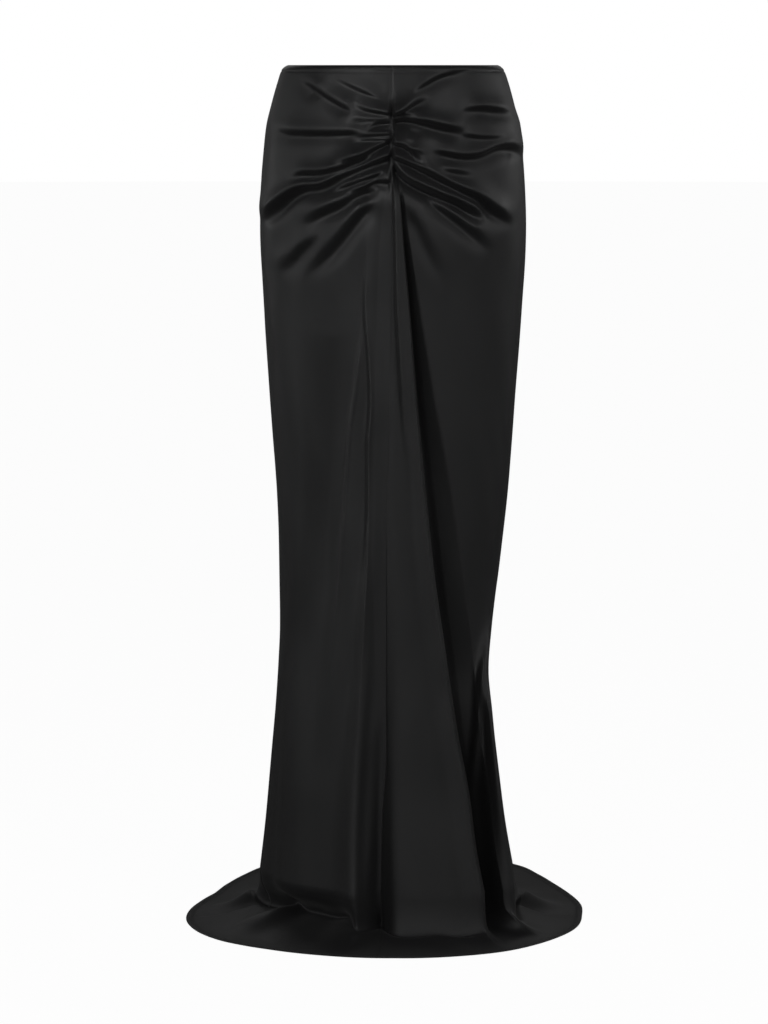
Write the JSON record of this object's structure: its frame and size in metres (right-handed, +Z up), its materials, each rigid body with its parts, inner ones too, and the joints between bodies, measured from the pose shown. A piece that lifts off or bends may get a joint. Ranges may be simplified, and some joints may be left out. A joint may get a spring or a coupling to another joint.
{
  "type": "gathered maxi skirt",
  "caption": "Floor-length satin skirt, gathered along its centre-front seam over the hips, with a deep front fold and a hem that pools on the floor.",
  "frame": {"origin": "centre of the waist opening, level with the waist edge", "axes": "+Z up, -Y the front with its gathered seam, +X the wearer's left, which is the viewer's right"},
  "size_m": [0.5074, 0.6061, 1.08],
  "materials": {
    "satin": "black satin with a soft sheen",
    "zip_tape": "matte woven tape",
    "zip_metal": "black lacquer"
  },
  "bodies": {
    "skirt": {"front_left": "satin", "front_right": "satin", "back_left": "satin", "back_right": "satin", "zip_tape_left": "zip_tape", "zip_tape_right": "zip_tape", "zip_slider": "zip_metal"},
    "pull": {"zip_pull": "zip_metal"}
  },
  "joints": [
    {"name": "pull_swing", "type": "hinge", "parent": "skirt", "child": "pull", "pos_m": [0, 0.09349, -0.00899], "axis": [1, 0, 0], "range_deg": [0, 150]}
  ]
}
